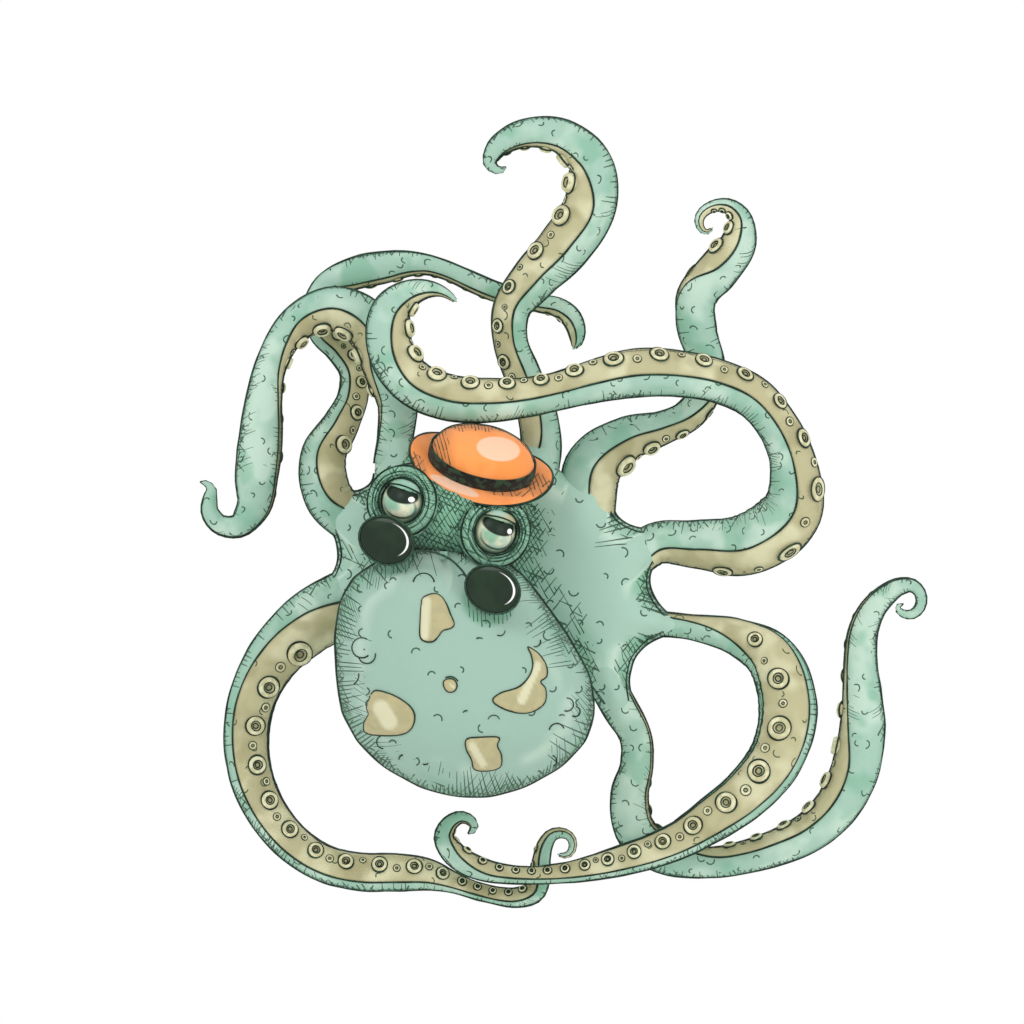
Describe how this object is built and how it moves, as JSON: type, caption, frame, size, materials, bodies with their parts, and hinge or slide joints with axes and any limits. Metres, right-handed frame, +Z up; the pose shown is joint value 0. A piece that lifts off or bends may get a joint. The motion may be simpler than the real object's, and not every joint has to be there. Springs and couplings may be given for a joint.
{
  "type": "octopus kite",
  "caption": "Soft octopus show kite: stuffed mantle and head with hat and dark glasses, and curled sucker arms that sway about pins in a nylon hub.",
  "frame": {"origin": "centre of the tow bush's bore on the back of the hub", "axes": "+Z up the kite, the face looks along -Y, +X to the right as seen by someone facing the kite"},
  "size_m": [1.4543, 0.5027, 1.576],
  "materials": {
    "green_cloth": "matte",
    "tan_cloth": "matte",
    "sucker_cloth": "matte",
    "nylon": "matte",
    "pin_metal": "satin",
    "brass": "satin",
    "foam": "matte",
    "eye_white": "gloss",
    "hat_felt": "matte",
    "band_ribbon": "satin",
    "dark_lens": "gloss",
    "frame_wire": "gloss"
  },
  "bodies": {
    "crown": {"arm_pins": "pin_metal", "back_pad": "foam", "bridge_pad": "foam", "eye_socket_left": "green_cloth", "eye_socket_right": "green_cloth", "eyeball_left": "eye_white", "eyeball_right": "eye_white", "eyelid_left": "tan_cloth", "eyelid_right": "tan_cloth", "glasses_frame": "frame_wire", "hat_band": "band_ribbon", "hat_brim": "hat_felt", "hat_crown": "hat_felt", "head": "green_cloth", "hub_back_plate": "nylon", "hub_front_plate": "nylon", "hub_posts": "nylon", "lens_left": "dark_lens", "lens_right": "dark_lens", "mantle": "green_cloth", "neck_pad": "foam", "tow_bush": "brass", "tow_lug": "nylon", "web_back": "green_cloth", "web_front": "green_cloth"},
    "arm_top": {"arm_top_knuckle": "nylon", "arm_top_back": "green_cloth", "arm_top_underside": "tan_cloth", "arm_top_suckers": "sucker_cloth"},
    "arm_crossing": {"arm_crossing_knuckle": "nylon", "arm_crossing_back": "green_cloth", "arm_crossing_underside": "tan_cloth", "arm_crossing_suckers": "sucker_cloth"},
    "arm_inner": {"arm_inner_knuckle": "nylon", "arm_inner_back": "green_cloth", "arm_inner_underside": "tan_cloth", "arm_inner_suckers": "sucker_cloth"},
    "arm_sweeping": {"arm_sweeping_knuckle": "nylon", "arm_sweeping_back": "green_cloth", "arm_sweeping_underside": "tan_cloth", "arm_sweeping_suckers": "sucker_cloth"},
    "arm_corner": {"arm_corner_knuckle": "nylon", "arm_corner_back": "green_cloth", "arm_corner_underside": "tan_cloth", "arm_corner_suckers": "sucker_cloth"},
    "arm_lower": {"arm_lower_knuckle": "nylon", "arm_lower_back": "green_cloth", "arm_lower_underside": "tan_cloth", "arm_lower_suckers": "sucker_cloth"},
    "arm_arching": {"arm_arching_knuckle": "nylon", "arm_arching_back": "green_cloth", "arm_arching_underside": "tan_cloth", "arm_arching_suckers": "sucker_cloth"},
    "arm_drooping": {"arm_drooping_knuckle": "nylon", "arm_drooping_back": "green_cloth", "arm_drooping_underside": "tan_cloth", "arm_drooping_suckers": "sucker_cloth"}
  },
  "joints": [
    {"name": "top_sway", "type": "hinge", "parent": "crown", "child": "arm_top", "pos_m": [0.076, -0.0873, 0.18], "axis": [0, 1, 0], "range_deg": [-5, 3]},
    {"name": "crossing_sway", "type": "hinge", "parent": "crown", "child": "arm_crossing", "pos_m": [0.236, -0.0873, 0.01], "axis": [0, 1, 0], "range_deg": [0, 5]},
    {"name": "inner_sway", "type": "hinge", "parent": "crown", "child": "arm_inner", "pos_m": [0.184, -0.0873, 0.104], "axis": [0, 1, 0], "range_deg": [-3, 4]},
    {"name": "sweeping_sway", "type": "hinge", "parent": "crown", "child": "arm_sweeping", "pos_m": [0.244, -0.0873, -0.084], "axis": [0, 1, 0], "range_deg": [-4, 4]},
    {"name": "corner_sway", "type": "hinge", "parent": "crown", "child": "arm_corner", "pos_m": [0.2, -0.0873, -0.18], "axis": [0, 1, 0], "range_deg": [-4, 4]},
    {"name": "lower_sway", "type": "hinge", "parent": "crown", "child": "arm_lower", "pos_m": [-0.25, -0.0873, -0.02], "axis": [0, 1, 0], "range_deg": [-4, 4]},
    {"name": "arching_sway", "type": "hinge", "parent": "crown", "child": "arm_arching", "pos_m": [-0.256, -0.0873, 0.09], "axis": [0, 1, 0], "range_deg": [-4, 4]},
    {"name": "drooping_sway", "type": "hinge", "parent": "crown", "child": "arm_drooping", "pos_m": [-0.216, -0.0873, 0.2], "axis": [0, 1, 0], "range_deg": [-4, 4]}
  ]
}
